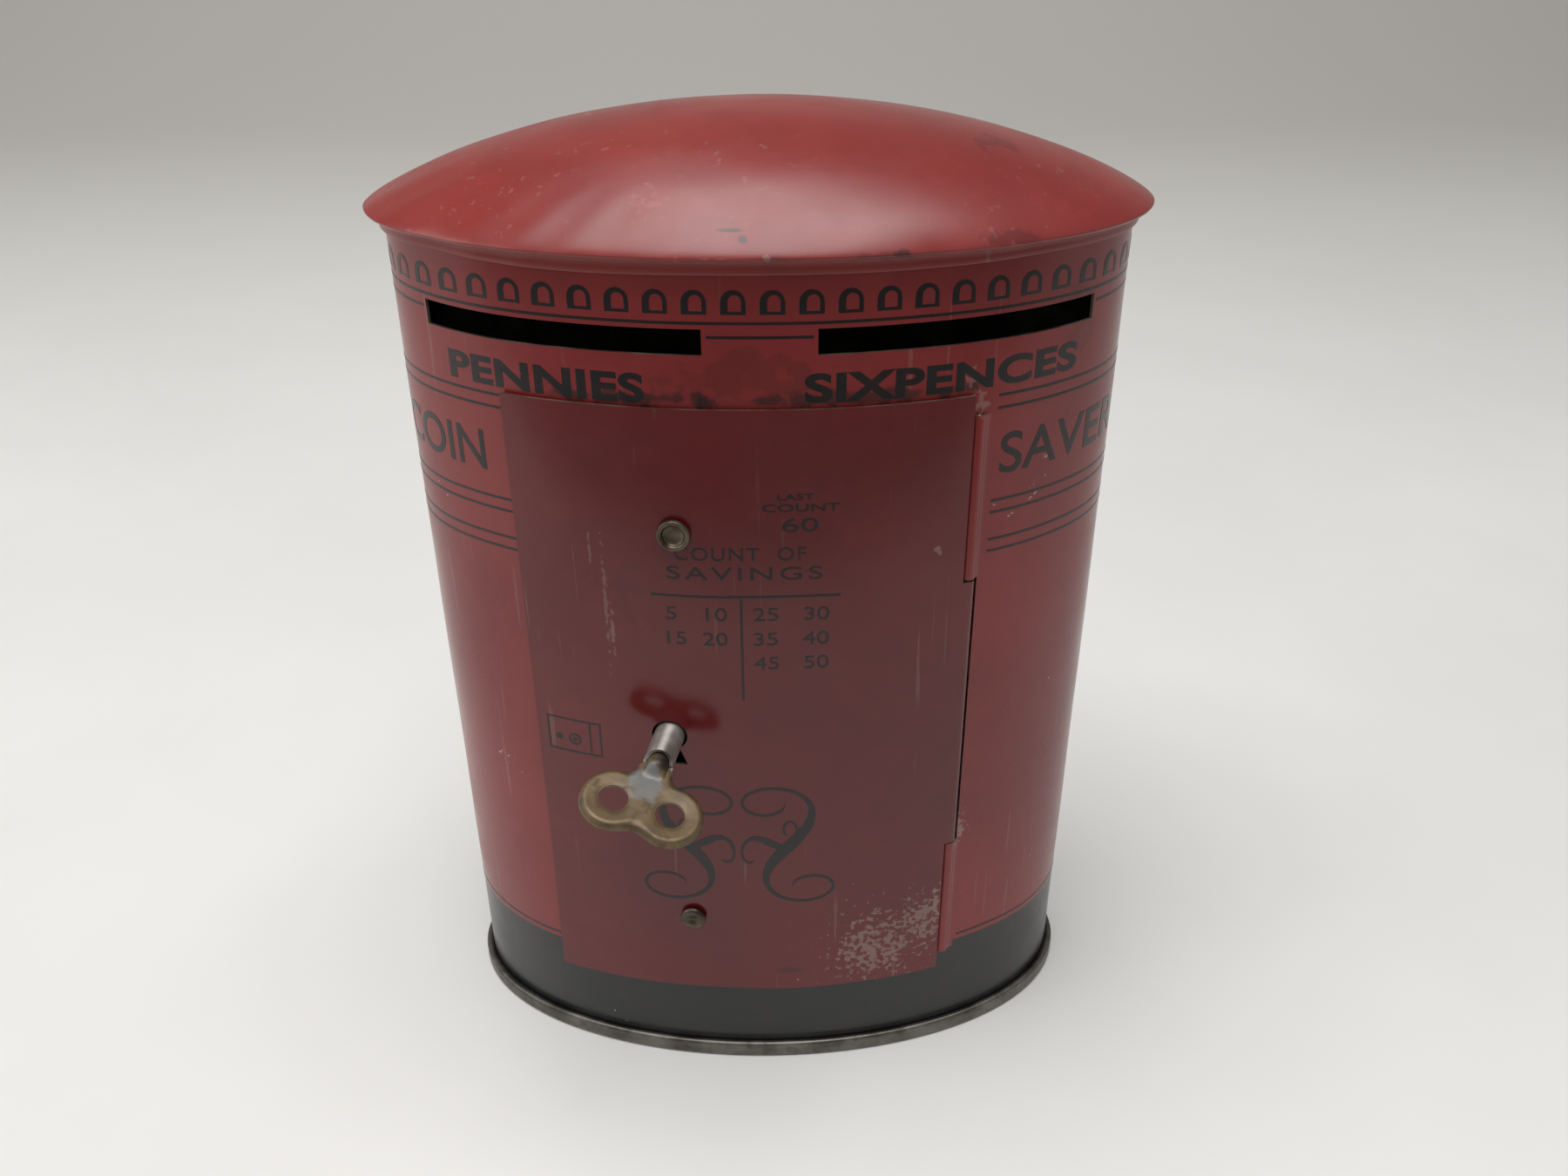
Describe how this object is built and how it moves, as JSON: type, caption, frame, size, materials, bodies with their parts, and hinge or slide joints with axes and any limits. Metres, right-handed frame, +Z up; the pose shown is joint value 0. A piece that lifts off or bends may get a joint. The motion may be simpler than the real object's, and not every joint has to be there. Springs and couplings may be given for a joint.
{
  "type": "tin money box",
  "caption": "Oval tinplate coin bank shaped like a letter box, with two coin slots, a hinged door, and a pipe key that turns a latch.",
  "frame": {"origin": "middle of the flat underside of the recessed base panel; the rim it stands on reaches 2.4 mm lower", "axes": "+Z up, front with the door and slots towards -Y, +X to the right seen from the front"},
  "size_m": [0.1068, 0.0733, 0.1499],
  "materials": {
    "red_print": "glossy red printed tinplate with fine scuffs",
    "bare_tin": "dull bare tinplate, darkened in the seams",
    "lock_steel": "worn plain steel",
    "key_steel": "silvery rolled sheet, rubbed bright",
    "worn_brass": "brass-coloured lacquer worn to grey metal"
  },
  "bodies": {
    "box": {"body_wall": "red_print", "base_pan": "bare_tin", "lid": "red_print", "hinge_pin": "lock_steel"},
    "door": {"door": "red_print", "rivet_upper": "lock_steel", "rivet_lower": "lock_steel", "lock_strap": "bare_tin", "lock_post": "lock_steel"},
    "latch": {"lock_latch": "lock_steel"},
    "key": {"key_tube": "key_steel", "key_bow": "worn_brass"}
  },
  "joints": [
    {"name": "door_hinge", "type": "hinge", "parent": "box", "child": "door", "pos_m": [0.02858, -0.02204, 0], "axis": [0, 0, 1], "range_deg": [0, 110]},
    {"name": "key_turn", "type": "hinge", "parent": "door", "child": "latch", "pos_m": [-0.01385, -0.02599, 0.0638], "axis": [0.2538, 0.9325, 0.2572], "range_deg": [0, 90]},
    {"name": "key_pull", "type": "slide", "parent": "latch", "child": "key", "axis": [-0.2538, -0.9325, -0.2572], "range_m": [0, 0.024]}
  ]
}
